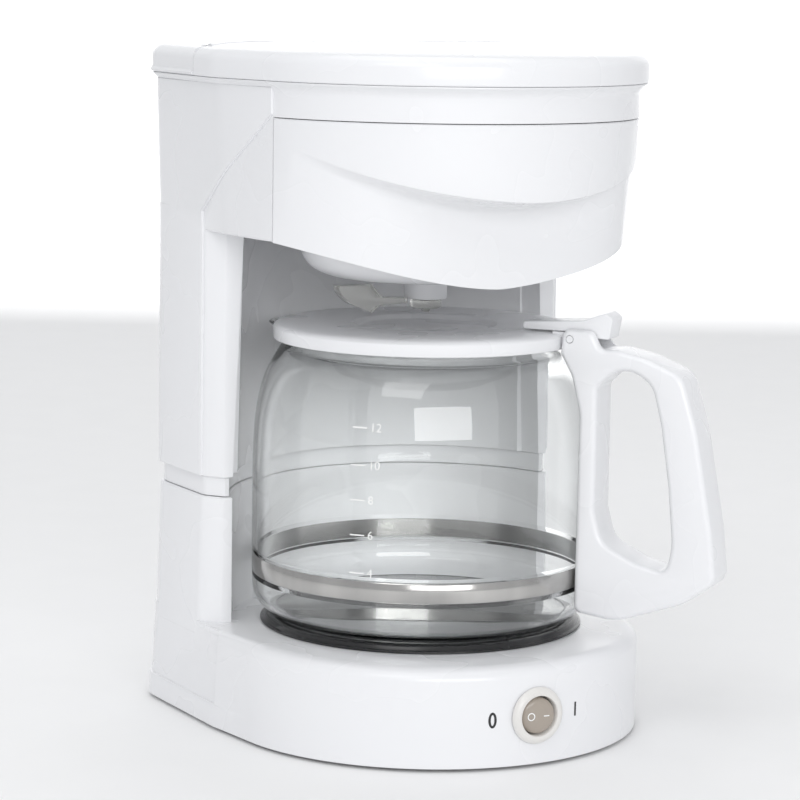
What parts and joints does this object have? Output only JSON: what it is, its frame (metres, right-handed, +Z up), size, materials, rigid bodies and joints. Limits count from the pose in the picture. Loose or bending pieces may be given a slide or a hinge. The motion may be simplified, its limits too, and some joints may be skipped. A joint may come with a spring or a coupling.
{
  "type": "drip coffee maker",
  "caption": "Drip coffee maker with glass carafe on a warming plate, tank column, pull-out brew drawer under a hinged lid, and a rocker switch.",
  "frame": {"origin": "bottom centre of the bounding box, on the table under the feet", "axes": "+Z up, the front with the switch faces -Y, +X is to the right of someone behind the machine's front looking along +Y"},
  "size_m": [0.203, 0.2207, 0.3085],
  "materials": {
    "white_plastic": "glossy slightly bluish white",
    "grey_plastic": "matte",
    "black_plastic": "matte",
    "black_enamel": "semi-gloss enamel",
    "steel": "polished",
    "aluminium": "plain",
    "rubber": "matte",
    "silicone": "translucent",
    "clear_plastic": "translucent",
    "clear_glass": "clear",
    "smoke_plastic": "smoky translucent",
    "wire_insulation": "satin"
  },
  "bodies": {
    "machine": {"base_housing": "white_plastic", "base_plate": "grey_plastic", "rubber_foot_1": "rubber", "rubber_foot_2": "rubber", "rubber_foot_3": "rubber", "rubber_foot_4": "rubber", "base_screw_1": "steel", "base_screw_2": "steel", "base_screw_3": "steel", "base_screw_4": "steel", "housing_screw_1": "steel", "housing_screw_2": "steel", "cord_gland": "black_plastic", "warming_plate": "black_enamel", "plate_seal": "silicone", "heater_element": "steel", "water_tube": "aluminium", "heater_bracket": "steel", "bracket_stud": "steel", "thermostat": "black_plastic", "thermal_fuse_1": "steel", "thermal_fuse_2": "steel", "check_valve": "clear_plastic", "cold_hose": "silicone", "hot_hose": "silicone", "riser_tube": "clear_plastic", "spray_arm": "white_plastic", "upper_housing": "white_plastic", "water_tank": "white_plastic", "shower_plate": "white_plastic", "fill_chute": "white_plastic", "rear_deck": "white_plastic", "lid_hinge_pin_left": "steel", "lid_hinge_pin_right": "steel", "switch_bezel": "white_plastic", "switch_body": "black_plastic", "thermostat_wire": "wire_insulation", "mains_wire": "wire_insulation"},
    "lid": {"top_lid": "white_plastic"},
    "drawer": {"drawer_front": "white_plastic", "drawer_tray": "white_plastic", "filter_basket": "white_plastic", "drip_collar": "white_plastic", "drip_spring": "steel"},
    "drip_stop": {"drip_valve": "clear_plastic", "drip_lever": "clear_plastic"},
    "carafe": {"carafe_glass": "clear_glass", "carafe_band": "steel", "carafe_handle": "white_plastic", "carafe_lid_pin": "white_plastic", "band_screw": "steel"},
    "carafe_cover": {"carafe_lid": "white_plastic", "lid_lever": "white_plastic"},
    "rocker": {"switch_rocker": "smoke_plastic"}
  },
  "joints": [
    {"name": "lid_hinge", "type": "hinge", "parent": "machine", "child": "lid", "pos_m": [0, 0.04325, 0.304], "axis": [-1, 0, 0], "range_deg": [0, 86]},
    {"name": "drawer_slide", "type": "slide", "parent": "machine", "child": "drawer", "axis": [0, -1, 0], "range_m": [0, 0.1]},
    {"name": "drip_stop_lift", "type": "slide", "parent": "drawer", "child": "drip_stop", "axis": [0, 0, 1], "range_m": [0, 0.002], "stiffness_N_per_m": 150, "deforming": ["drip_spring"]},
    {"name": "carafe_slide", "type": "slide", "parent": "machine", "child": "carafe", "axis": [0, -1, 0], "range_m": [0, 0.18]},
    {"name": "carafe_lid_hinge", "type": "hinge", "parent": "carafe", "child": "carafe_cover", "pos_m": [0.04525, -0.04967, 0.1806], "axis": [0.788, 0.6157, 0], "range_deg": [0, 2.5]},
    {"name": "switch_pivot", "type": "hinge", "parent": "machine", "child": "rocker", "pos_m": [0, -0.09385, 0.0231], "axis": [0, 0, 1], "range_deg": [0, 14]}
  ]
}
